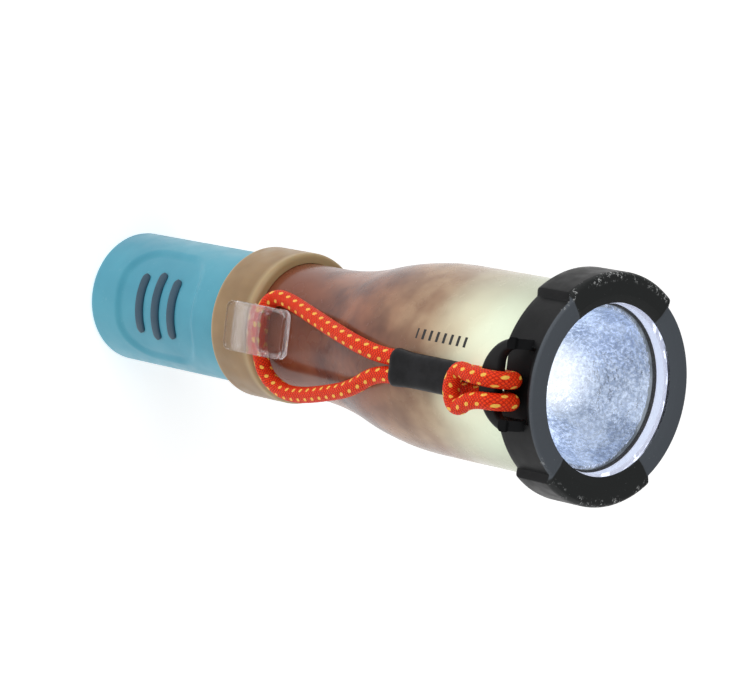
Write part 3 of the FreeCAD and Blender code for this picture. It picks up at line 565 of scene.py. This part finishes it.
def reflector_material():
    """Vapour-coated bowl with an orange-peel skin, and its lamp's glare painted on as a glow."""
    material, tree = new_material("reflector_chrome")
    spot, x, y, _ = place(tree)
    peel = noise(tree, spot, 620.0, 3.0, 0.6)
    grain = spread(tree, noise(tree, spot, 1500.0, 4.0, 0.7), 0.40, 0.62)
    patches = spread(tree, noise(tree, spot, 120.0, 3.0, 0.6), 0.42, 0.60)
    # Painted glare: the bowl's emission stands in for the lamp's light off it, strongest around the lamp and
    # on the lug's side.
    middle = spread(tree, radius_of(tree, x, calc(tree, "SUBTRACT", y, 0.0030)), 0.0098, 0.0035)
    painted_glare_side = spread(tree, y, -0.001, -0.010)
    glare = calc(tree, "MAXIMUM", calc(tree, "MAXIMUM", middle, calc(tree, "MULTIPLY", painted_glare_side, 0.7)),
                 calc(tree, "ADD", calc(tree, "MULTIPLY", patches, 0.22), 0.16))
    tone = blend(tree, grain, rgb(0.30, 0.36, 0.50), rgb(0.74, 0.80, 0.92))
    body = put(tree, "BsdfPrincipled", {
        "Base Color": tone,
        "Metallic": 1.0,
        "Roughness": 0.16,
        "Emission Color": blend(tree, glare, rgb(0.66, 0.82, 1.0), rgb(0.97, 0.99, 1.0)),
        "Emission Strength": calc(tree, "MULTIPLY", glare, 0.85),
        "Normal": bump(tree, peel, 0.8, 0.0004),
    })
    surface(tree, body)
    return material


def glowing(name, colour, strength):
    """Pale plastic with emission, for the lamps and for a painted glow on a part that is no lamp."""
    material, tree = new_material(name)
    spot, *_ = place(tree)
    body = put(tree, "BsdfPrincipled", {
        "Base Color": blend(tree, noise(tree, spot, 900.0), rgb(0.95, 0.93, 0.85), rgb(1.0, 1.0, 0.95)),
        "Roughness": 0.3,
        "Emission Color": colour,
        "Emission Strength": strength,
    })
    surface(tree, body)
    return material


TRACER_PITCH = 0.0027  # metres between the tracers of one row
TRACER_ROWS = 5.0
BRAID_CARRIERS = 12.0
BRAID_SLOPE = 4.0

BLACK = plastic("black_plastic", rgb(0.018, 0.018, 0.019), 0.45)
WHITE = plastic("white_plastic", rgb(0.78, 0.78, 0.75), 0.4)
RUBBER = plastic("rubber_seal", rgb(0.010, 0.010, 0.010), 0.6)
INK = plastic("dark_teal", rgb(0.006, 0.055, 0.10), 0.38)
GREEN_BOARD = plastic("green_board", rgb(0.02, 0.16, 0.07), 0.35)
WHITE_BOARD = plastic("white_board", rgb(0.82, 0.83, 0.82), 0.35)
CELL = plastic("cell_sleeve", rgb(0.30, 0.32, 0.35), 0.3, Metallic=0.6)
STEEL = metal("plain_steel", rgb(0.60, 0.61, 0.63), 0.3)
BRASS = metal("contact_brass", rgb(0.78, 0.56, 0.22), 0.28, 500.0)
BEZEL = bezel_material()
GLOBE = globe_material()
BLUE = blue_material()
CREAM = collar_material()
CORD = cord_material()
SHRINK = sleeve_material()
CLEAR = clear_material()
LENS = lens_material()
BOWL = reflector_material()
# Painted glow: the spacer is no lamp, and this emission stands in for the LED's light on it.
PAINTED_GLOW_SPACER = glowing("painted_glow_spacer", rgb(0.66, 0.72, 1.0), 0.50)
LED = glowing("led_light", rgb(0.93, 0.96, 1.0), 1.6)
LANTERN_LED = glowing("lantern_light", rgb(0.95, 1.0, 0.9), 2.0)

for nodes, material in (
    (("front_lens",), LENS),
    (("lens_spacer",), PAINTED_GLOW_SPACER),
    (("lens_seal", "thread_seal", "button_seal"), RUBBER),
    (("led_emitter",), LED),
    (("lantern_leds",), LANTERN_LED),
    (("led_board",), WHITE_BOARD),
    (("led_tower", "switch_plunger"), WHITE),
    (("driver_board", "switch_board"), GREEN_BOARD),
    (("board_screws", "tail_spring", "pack_springs"), STEEL),
    (("head_contact", "pack_plates", "pack_contact"), BRASS),
    (("core_cup", "board_clamp", "switch_body", "pack_frame"), BLACK),
    (("aaa_cell_1", "aaa_cell_2", "aaa_cell_3"), CELL),
):
    for node in nodes:
        wear(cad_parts[node], material)


# ---------------------------------------------------------------- camera and cords

def make_camera():
    """The camera, at the photograph's viewing angle."""
    data = bpy.data.cameras.new("camera")
    data.sensor_width = 36.0
    data.lens = 171.4
    data.clip_start = 0.01
    data.clip_end = 20.0
    camera = bpy.data.objects.new("camera", data)
    bpy.context.scene.collection.objects.link(camera)
    back = Vector((-0.0790, -0.6768, 0.7319)).normalized()
    right = Vector((-0.1126, 0.7355, 0.6681))
    right = (right - back * right.dot(back)).normalized()
    up = back.cross(right)
    turned = Matrix((right, up, back)).transposed().to_4x4()
    spot = Vector((-53.15, -455.25, 564.84)) - right * 0.45 + up * 0.18
    camera.matrix_world = Matrix.Translation(spot * MM) @ turned
    bpy.context.scene.camera = camera


make_camera()

LOOP_POINTS = [
    (-0.4, -19.55, 98.1), (-0.4, -19.55, 93.5), (-1.4, -19.1, 87.0), (-3.1, -17.3, 77.5),
    (-4.9, -15.1, 68.0), (-6.1, -13.7, 61.5), (-6.5, -13.1, 57.0), (-4.7, -13.65, 54.45),
    (0.0, -14.4, 54.3), (4.8, -13.65, 54.45), (8.8, -12.5, 55.6), (11.0, -12.6, 61.0),
    (10.7, -14.1, 68.0), (9.0, -16.3, 77.0), (6.9, -18.3, 86.0), (2.8, -19.55, 93.5),
    (2.8, -19.55, 98.1),
]
HITCH_POINTS = [
    (-0.4, -19.55, 115.0), (-0.4, -19.55, 118.0), (-0.6, -19.15, 122.5), (-0.7, -19.1, 129.15),
    (-0.7, -24.2, 129.15), (-0.7, -24.3, 124.4), (-0.8, -23.9, 121.4), (-1.2, -23.2, 119.4),
    (-0.7, -22.9, 117.4), (2.2, -22.9, 116.2), (5.1, -22.9, 117.4), (5.4, -23.2, 119.4),
    (4.2, -23.9, 121.4), (3.3, -24.3, 124.4), (3.1, -24.2, 129.15), (3.1, -19.1, 129.15),
    (3.0, -19.15, 122.5), (2.8, -19.55, 118.0), (2.8, -19.55, 115.0),
]
CORD_SIDES = 40
CORD_SAMPLES = 22


def make_cord(name, points, replaced):
    """A round cord on the route's spline, with its place along and round it kept for the braid."""
    route = follow(name, points, CORD_SAMPLES)
    steps = frames_along(route)
    shell = Shell()
    rows = []
    along, cosines, sines = [], [], []
    for spot, tangent, normal, travelled in steps:
        other = tangent.cross(normal)
        row = []
        for k in range(CORD_SIDES):
            angle = TAU * k / CORD_SIDES
            # The carriers of the braid cross in two directions.
            lane = BRAID_CARRIERS / 2 * angle
            slope = BRAID_SLOPE * math.pi * travelled / TRACER_PITCH
            weave = abs(math.sin(lane + slope)) * abs(math.sin(lane - slope))
            radius = CORD_D / 2 * MM * (0.995 + 0.035 * weave)
            out = spot + (normal * math.cos(angle) + other * math.sin(angle)) * radius
            row.append(tuple(c / MM for c in out))
            along.append(travelled)
            cosines.append(math.cos(angle))
            sines.append(math.sin(angle))
        rows.append(row)
    base = shell.grid(rows, wrap_rows=False)
    shell.cap(range(base, base + CORD_SIDES))
    last = base + (len(rows) - 1) * CORD_SIDES
    shell.cap(range(last, last + CORD_SIDES))
    obj = shell.make(name, sharp=60.0)
    for key, values in (("along", along), ("turn_cos", cosines), ("turn_sin", sines)):
        obj.data.attributes.new(key, "FLOAT", "POINT").data.foreach_set("value", values)
    wear(obj, CORD)
    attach(obj, "head")
    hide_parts(replaced)
    print(name, "length", round(steps[-1][3] / MM, 1))
    return obj, route


loop, loop_route = make_cord("cord_loop", LOOP_POINTS, "lanyard_loop")
hitch, hitch_route = make_cord("cord_hitch", HITCH_POINTS, "lanyard_hitch")


def make_sleeve():
    """Shrunk tube over the two strands: flared where the loop leaves it, waisted between them."""
    shell = Shell()
    rows = []
    length = SLEEVE_TOP - SLEEVE_LOW
    count, steps = 60, 44
    for i in range(steps + 1):
        share = i / steps
        z = SLEEVE_LOW + length * share
        flare = 1.0 - smoothstep(0.0, 0.30, share)
        edge = max(0.0, 1.0 - min(share, 1 - share) * length / 0.7)
        half_width = 3.16 + 0.34 * flare - 0.30 * edge ** 2
        half_height = 1.70 + 0.15 * flare - 0.20 * edge ** 2
        row = []
        for k in range(count):
            angle = TAU * k / count
            c, s = math.cos(angle), math.sin(angle)
            wide = half_width * math.copysign(abs(c) ** 0.82, c)
            waist = 1.0 - 0.10 * math.exp(-(wide / 1.1) ** 2)
            tall = half_height * waist * math.copysign(abs(s) ** 0.80, s)
            crease = 0.02 * math.sin(3 * angle + 7 * share) * math.sin(math.pi * share)
            row.append((SLEEVE_X + wide, STRAND_Y + tall * (1 + crease), z))
        rows.append(row)
    base = shell.grid(rows, wrap_rows=False)
    shell.cap(range(base, base + count))
    last = base + (len(rows) - 1) * count
    shell.cap(range(last, last + count))
    obj = shell.make("shrink_sleeve", sharp=50.0)
    wear(obj, SHRINK)
    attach(obj, "head")
    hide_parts("lanyard_sleeve")
    return obj


sleeve = make_sleeve()


# ---------------------------------------------------------------- housing and tail

def panel_depth(angle, z):
    """How far the housing's side is sunk at a point of its wall."""
    around = abs((angle + math.pi / 2 + math.pi / 2) % math.pi - math.pi / 2) * BARREL_R
    half_wide, low, high, corner = 12.85, 8.0, 32.5, 8.6
    dx = abs(around) - (half_wide - corner)
    dz = abs(z - (low + high) / 2) - ((high - low) / 2 - corner)
    outside = math.hypot(max(dx, 0.0), max(dz, 0.0)) + min(max(dx, dz), 0.0) - corner
    return PANEL_DEPTH * smoothstep(0.0, 1.7, -outside)


def make_housing():
    """The blue housing with its two sunk panels, its bore and its threaded neck."""
    outline = rounded([
        (6.2, 0.0, 0.3), (BARREL_R, 0.0, 1.2), (BARREL_R, HOUSING_TOP, 0.35), (NECK_R, HOUSING_TOP, 0),
        (NECK_R, NECK_TOP, 0.3), (PACK_BORE_R, NECK_TOP, 0.1), (PACK_BORE_R, 9.4, 0), (9.6, 9.4, 0),
        (9.6, 2.2, 0), (6.2, 2.2, 0.2),
    ], 5)
    outline = subdivide(outline, 0.34, lambda p: p[0] > BARREL_R - 0.01)

    def warp(angle, r, z):
        if r < BARREL_R - 0.6 or not 1.0 < z < 39.5:
            return r
        return r - panel_depth(angle, z)

    shell = Shell()
    turn(shell, outline, 240, warp)
    add_thread(shell, NECK_R, depth=0.75, low=42.2, rise=4.0, pitch=2.0)
    obj = shell.make("battery_housing")
    wear(obj, BLUE)
    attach(obj, "tail")
    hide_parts("tail_housing")


def add_thread(shell, root, depth, low, rise, pitch):
    """A trapezoid ridge that winds up a neck, and runs out at both ends."""
    turns = rise / pitch
    steps = int(96 * turns)
    rows = []
    for i in range(steps + 1):
        share = i / steps
        angle = TAU * turns * share
        middle = low + rise * share
        height = depth * min(smoothstep(0, 0.05, share), smoothstep(0, 0.05, 1 - share))
        rows.append([(r * math.cos(angle), r * math.sin(angle), middle + dz) for r, dz in (
            (root - 0.15, -0.55), (root + height, -0.2), (root + height, 0.2), (root - 0.15, 0.55))])
    base = shell.grid(rows, wrap_rows=False)
    shell.cap(range(base, base + 4))
    shell.cap(range(base + steps * 4, base + steps * 4 + 4))


def make_grip_bars():
    """Plain raised bars on each sunk panel."""
    shell = Shell()
    for side in (-math.pi / 2, math.pi / 2):
        for bar in range(3):
            middle = 15.2 + 4.9 * bar
            add_bar(shell, side, middle, 7.2 - 0.9 * abs(bar - 1), 1.15)
    obj = shell.make("grip_bars")
    wear(obj, INK)
    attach(obj, "tail")


def add_bar(shell, side, middle, half_long, half_wide):
    """One bar with round ends that bends with the wall, made of sections across it."""
    section = [(-1.0, -0.2), (-1.0, 0.2), (-0.86, 0.34), (-0.6, 0.4), (0.0, 0.42),
               (0.6, 0.4), (0.86, 0.34), (1.0, 0.2), (1.0, -0.2)]
    straight = half_long - half_wide
    ends = [(straight + half_wide * math.sin(a), math.cos(a))
            for a in (math.pi / 2 * k / 7 for k in range(7))] + [(half_long, 0.08)]
    stations = [(-x, w) for x, w in reversed(ends)]
    stations += [(straight * k / 8, 1.0) for k in range(-7, 8)] + ends
    rows = []
    for along, share in stations:
        turned = side + along / BARREL_R
        row = []
        for v, lift in section:
            r = BARREL_R - PANEL_DEPTH + lift
            row.append((r * math.cos(turned), r * math.sin(turned), middle + v * half_wide * share))
        rows.append(row)
    base = shell.grid(rows, wrap_rows=False)
    count = len(section)
    shell.cap(range(base, base + count))
    last = base + (len(rows) - 1) * count
    shell.cap(range(last, last + count))


def make_button():
    """Rubber button with three rings round a dimple, and a flange inside the wall."""
    low, r, flange, flange_low, top = 0.5, 6.1, 7.4, 2.3, 3.5
    face = [(0.0, low + 0.35), (1.6, low + 0.28), (2.3, low + 0.02)]
    for k in range(3):
        start = 2.7 + 1.0 * k
        face += [(start, low), (start + 0.15, low + 0.22), (start + 0.35, low + 0.22), (start + 0.5, low)]
    rim = rounded([(5.6, low, 0), (r, low, 0.4), (r, flange_low, 0), (flange, flange_low, 0.1),
                   (flange, top, 0.1), (2.0, top, 0)], 4, closed=False)
    shell = Shell()
    turn_solid(shell, face + rim + [(0.0, top)])
    obj = shell.make("rubber_button", sharp=50.0)
    wear(obj, RUBBER)
    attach(obj, "button")
    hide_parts("tail_button")


make_housing()
make_grip_bars()
make_button()


# ---------------------------------------------------------------- collar, globe and hook

def make_collar():
    """The cream ring with its round front edge."""
    shell = Shell()
    turn(shell, rounded([
        (12.67, COLLAR_LOW, 0), (COLLAR_R, COLLAR_LOW, 0.4), (COLLAR_R, COLLAR_TOP, 1.6),
        (WAIST_R + 0.02, COLLAR_TOP, 0.15), (WAIST_R + 0.02, GLOBE_BASE, 0), (12.67, GLOBE_BASE, 0),
    ], 7), 160)
    obj = shell.make("cream_collar")
    wear(obj, CREAM)
    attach(obj, "head")
    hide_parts("collar_ring")


def make_globe():
    """The hourglass shell, with its rim under the bezel and its seat for the core."""
    middle = ((WAIST_R + GLOBE_R) / 2, (FLARE_LOW + FLARE_TOP) / 2)
    outer = [(WAIST_R, GLOBE_BASE)]
    outer += arc_between((WAIST_R, FLARE_LOW), middle, 69.7, -1, 12)
    outer += arc_between(middle, (GLOBE_R, FLARE_TOP), 69.7, 1, 12)[1:]
    outer += rounded([(GLOBE_R, 110.0, 0), (GLOBE_R, SHOULDER, 0.3), (RIM_R, SHOULDER, 0)], 4,
                     closed=False)
    outer += [(RIM_R, RIM_TOP), (15.0, RIM_TOP), (15.0, SHOULDER - 1.5), (16.1, SHOULDER - 3.0),
              (16.1, FLARE_TOP)]
    inner_mid = (14.025, 83.125)
    outer += arc_between((16.1, FLARE_TOP), inner_mid, 42.8, -1, 8)[1:]
    outer += arc_between(inner_mid, (11.95, 70.0), 42.8, 1, 8)[1:]
    outer += [(11.95, 67.0), (11.3, 67.0), (11.3, GLOBE_BASE)]
    shell = Shell()
    turn(shell, outer, 192)
    obj = shell.make("globe_shell")
    wear(obj, GLOBE)
    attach(obj, "head")
    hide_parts("globe")


def outline_loop(half, low, high, inset=0.0):
    """A rectangle with round corners, drawn in by an inset."""
    corner = max(HOOK_CORNER - inset, 0.2)
    half -= inset
    low += inset
    high -= inset
    return rounded([(half, low, corner), (half, high, corner), (-half, high, corner),
                    (-half, low, corner)], 7)


def make_hook():
    """The clear tab and its foot, as one closed form with softened edges."""
    soft = 0.45
    rows = []
    for k in range(5):
        angle = math.pi / 2 * k / 4
        inset = soft * (1 - math.sin(angle))
        depth = HOOK_FRONT + soft * (1 - math.cos(angle))
        rows.append((depth, outline_loop(HOOK_HALF, HOOK_LOW, HOOK_TOP, inset)))
    for k in range(5):
        angle = math.pi / 2 * k / 4
        inset = soft * (1 - math.cos(angle))
        depth = HOOK_BACK - soft * (1 - math.sin(angle))
        rows.append((depth, outline_loop(HOOK_HALF, HOOK_LOW, HOOK_TOP, inset)))
    for depth, inset in ((HOOK_BACK, -0.15), (HOOK_BACK + 0.2, 0.0), (HOOK_ROOT_END, 0.0)):
        rows.append((depth, outline_loop(HOOK_ROOT_HALF, HOOK_ROOT_LOW, HOOK_ROOT_TOP, inset)))
    shell = Shell()
    base = shell.grid([[(x, y, z) for x, z in loop_] for y, loop_ in rows], wrap_rows=False)
    count = len(rows[0][1])
    shell.cap(range(base, base + count))
    last = base + (len(rows) - 1) * count
    shell.cap(range(last, last + count))
    obj = shell.make("clear_hook")
    wear(obj, CLEAR)
    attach(obj, "head")
    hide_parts("cord_hook")


make_collar()
make_globe()
make_hook()


# ---------------------------------------------------------------- bezel and reflector

def bezel_outline(outer, face_outer, face_middle, face_inner, soft):
    """The ring's section, with the same number of points for a bumper and a gap."""
    points = rounded([
        (16.1, SHOULDER, 0), (outer, SHOULDER, soft), (outer, face_outer, soft),
        (OPENING_R + 1.5, face_middle, 0.35), (OPENING_R, face_inner, 0.15),
        (OPENING_R, LENS_TOP, 0), (16.1, LENS_TOP, 0),
    ], 5)
    shares = [0.15, 0.3, 0.5, 0.7, 0.85, 0.925, 0.94, 0.97]
    a, b = points[6], points[7]
    wall = [(a[0] + (b[0] - a[0]) * t, a[1] + (b[1] - a[1]) * t) for t in shares]
    return points[:7] + wall + points[7:]


def make_bezel():
    """The ring with its two bumper pads, the cord's pocket and the lug."""
    gap = bezel_outline(BEZEL_R, FRONT - 0.15, FRONT - 0.32, FRONT - 0.62, 0.5)
    pad = bezel_outline(PAD_R, FRONT, FRONT, FRONT - 0.5, 1.1)
    step, slope = math.radians(2), math.radians(1.2)
    ends = [PAD_HALF_ANGLE, math.pi - PAD_HALF_ANGLE, math.pi + PAD_HALF_ANGLE, TAU - PAD_HALF_ANGLE]
    near = [math.radians(d) for d in (-1.4, -1.0, -0.7, -0.4, -0.15, 0.15, 0.4, 0.7, 1.0, 1.4)]
    angles = [k * step for k in range(180) if min(abs(k * step - e) for e in ends) > math.radians(1.7)]
    angles = sorted(angles + [e + d for e in ends for d in near])
    rows = []
    for angle in angles:
        off = abs((angle + math.pi / 2) % math.pi - math.pi / 2)
        share = 1.0 - smoothstep(PAD_HALF_ANGLE - slope, PAD_HALF_ANGLE + slope, off)
        row = []
        for (r0, z0), (r1, z1) in zip(gap, pad):
            r = r0 + (r1 - r0) * share
            z = z0 + (z1 - z0) * share
            x, y = r * math.cos(angle), r * math.sin(angle)
            if abs(x) < LUG_HOLE_HALF and y < -POCKET_R and z < POCKET_TOP:
                y = -POCKET_R
            row.append((x, y, z))
        rows.append(row)
    shell = Shell()
    shell.grid(rows)
    add_lug(shell)
    obj = shell.make("bumper_bezel")
    wear(obj, BEZEL)
    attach(obj, "head")
    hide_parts("bezel_ring")


def lug_roof(y):
    """Height of the lug's sloping top."""
    return LUG_CENTRE - 2.4 * max(0.0, -y - 17.7) / 5.9


def hole_reach(angle):
    """From the arch's centre to the edge of its hole, a round-cornered slot."""
    corner = 2.6
    s, c = abs(math.sin(angle)), max(math.cos(angle), 1e-9)
    reach = min(LUG_HOLE_HALF / max(s, 1e-9), LUG_HOLE_DEEP / c)
    x, z = reach * s, reach * c
    if x > LUG_HOLE_HALF - corner and z > LUG_HOLE_DEEP - corner:
        cx, cz = LUG_HOLE_HALF - corner, LUG_HOLE_DEEP - corner
        along = cx * s + cz * c
        reach = along + math.sqrt(max(along ** 2 - cx ** 2 - cz ** 2 + corner ** 2, 0.0))
    return reach


def add_lug(shell):
    """The arch round the cord's slot, and the two feet that carry it on the ring."""
    rows = []
    count = 56
    for i in range(count + 1):
        angle = -math.pi / 2 + math.pi * i / count
        inner = hole_reach(angle)
        section = rounded([(inner, LUG_NEAR, 0.45), (LUG_OUTER, LUG_NEAR, 0.4),
                           (LUG_OUTER, LUG_FAR, 0.8), (inner, LUG_FAR, 0.6)], 4)
        row = []
        for reach, y in section:
            z = LUG_CENTRE - reach * math.cos(angle)
            row.append((reach * math.sin(angle), y, min(z, lug_roof(y))))
        rows.append(row)
    base = shell.grid(rows, wrap_rows=False)
    width = len(rows[0])
    shell.cap(range(base, base + width))
    shell.cap(range(base + count * width, base + (count + 1) * width))
    for side in (-1, 1):
        section = rounded([(6.2, LUG_CENTRE - 3.2, 0.4), (7.5, LUG_CENTRE - 3.2, 0.4),
                           (8.15, LUG_CENTRE, 0.5), (6.2, LUG_CENTRE, 0.3)], 4)
        rows = [[(side * x, y, min(z, lug_roof(y))) for x, z in section]
                for y in (-16.6, -17.6, -18.6, -19.6, -20.6, -21.2)]
        base = shell.grid(rows, wrap_rows=False)
        shell.cap(range(base, base + len(section)))
        last = base + (len(rows) - 1) * len(section)
        shell.cap(range(last, last + len(section)))


def make_reflector():
    """A faceted bowl with its flange and back."""
    bowl = arc_between((3.2, 110.9), (14.1, FLANGE_TOP), 36.0, 1, 10)
    back = arc_between((15.0, RIM_TOP), (4.1, 110.9), 36.0, -1, 10)
    outline = bowl + [(RIM_R, FLANGE_TOP), (RIM_R, RIM_TOP)] + back
    shell = Shell()
    turn(shell, outline, 44)
    for i in range(44):
        shell.flat.update(i * len(outline) + j for j in range(10))
    obj = shell.make("reflector_bowl")
    wear(obj, BOWL)
    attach(obj, "head")
    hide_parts("reflector")


make_bezel()
make_reflector()


# ---------------------------------------------------------------- stage

def make_stage():
    """A plain pale floor."""
    half = 1.2
    corners = [(-half, -half, 0), (half, -half, 0), (half, half, 0), (-half, half, 0)]
    mesh = bpy.data.meshes.new("floor")
    mesh.from_pydata(corners, [], [(0, 1, 2, 3)])
    floor = bpy.data.objects.new("floor", mesh)
    bpy.context.scene.collection.objects.link(floor)
    material, tree = new_material("pale_floor")
    spot, *_ = place(tree)
    surface(tree, put(tree, "BsdfPrincipled", {
        "Base Color": blend(tree, noise(tree, spot, 30.0), rgb(0.90, 0.90, 0.90), rgb(0.93, 0.93, 0.93)),
        "Roughness": 0.9, "Specular IOR Level": 0.1,
        "Emission Color": rgb(1.0, 1.0, 1.0), "Emission Strength": 0.55,
    }))
    wear(floor, material)


def area_light(name, spot, aim, size, power):
    """A round white softbox, turned towards a point."""
    data = bpy.data.lights.new(name, "AREA")
    data.shape = "DISK"
    data.size = size
    data.energy = power
    light = bpy.data.objects.new(name, data)
    bpy.context.scene.collection.objects.link(light)
    light.location = spot
    light.rotation_mode = "QUATERNION"
    light.rotation_quaternion = (Vector(aim) - Vector(spot)).to_track_quat("-Z", "Y")


make_stage()
world = bpy.data.worlds.new("studio")
world.use_nodes = True
world.node_tree.nodes["Background"].inputs[0].default_value = (1.0, 1.0, 1.0, 1.0)
world.node_tree.nodes["Background"].inputs[1].default_value = 0.26
bpy.context.scene.world = world
area_light("key", (-0.55, -0.35, 0.55), (0, 0, 0.08), 1.0, 3.4)
area_light("front", (0.25, -0.60, 0.45), (0, 0, 0.08), 0.9, 0.8)
area_light("rim", (0.65, 0.25, 0.45), (0, 0, 0.1), 0.7, 1.6)
bpy.context.scene.view_settings.view_transform = "Standard"
